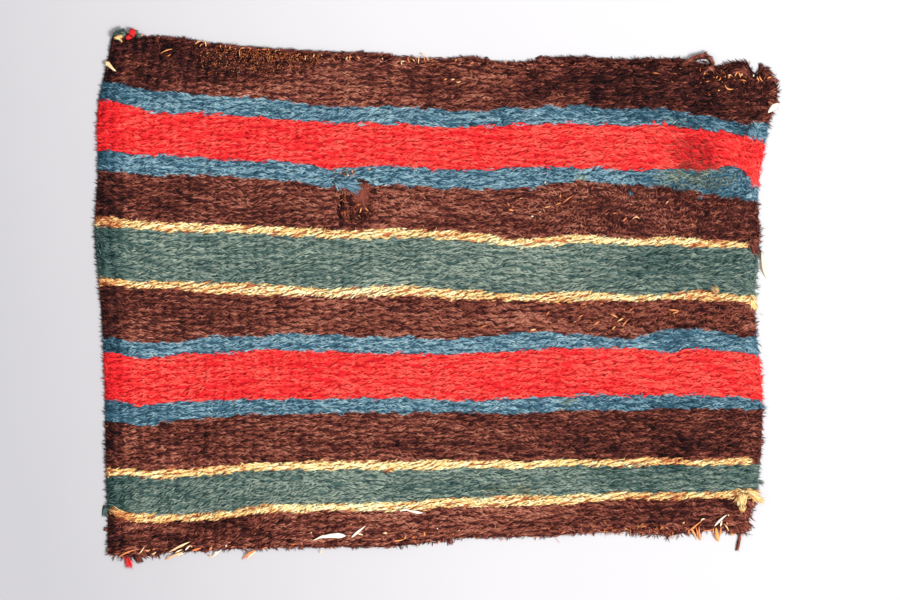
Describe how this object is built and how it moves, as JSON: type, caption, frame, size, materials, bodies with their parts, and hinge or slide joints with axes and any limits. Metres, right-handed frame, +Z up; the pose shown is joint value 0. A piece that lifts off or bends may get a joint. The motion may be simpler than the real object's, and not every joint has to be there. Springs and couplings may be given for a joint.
{
  "type": "woven mantle",
  "caption": "Flat rectangular shoulder cloth with ribbed tufted weft stripes, a scalloped left selvedge, ragged edges, a corner knot, loose yarn ends and a flat underside.",
  "frame": {"origin": "on the flat underside near the middle of the cloth, where it rests on the surface", "axes": "+X to the right along the stripes, +Y towards the upper edge, +Z up out of the pile"},
  "size_m": [0.9083, 0.7111, 0.0143],
  "materials": {
    "striped_cloth": "matt ribbed weave with soft tufted weft in brown, red, blue, grey green and yellow stripes",
    "grey_green_yarn": "matt wound yarn",
    "red_yarn": "matt soft yarn",
    "yellow_yarn": "soft fibre with a slight sheen",
    "brown_cord": "matt twisted cord",
    "quill": "smooth pale quill with a slight gloss"
  },
  "bodies": {
    "root": {"mantle_panel": "striped_cloth", "corner_knot": "grey_green_yarn", "corner_red_yarn": "red_yarn", "corner_pale_yarn": "yellow_yarn", "lower_red_tuft": "red_yarn", "warp_cord_end": "brown_cord", "edge_yarn_loop": "brown_cord", "yellow_yarn_end": "yellow_yarn", "yellow_yarn_tuft": "yellow_yarn", "quill_chip_left": "quill", "quill_chip_right": "quill", "quill_sliver_large": "quill", "quill_sliver_middle": "quill", "quill_sliver_long": "quill", "quill_sliver_lower_left": "quill", "quill_sliver_lower_right": "quill"}
  },
  "joints": []
}
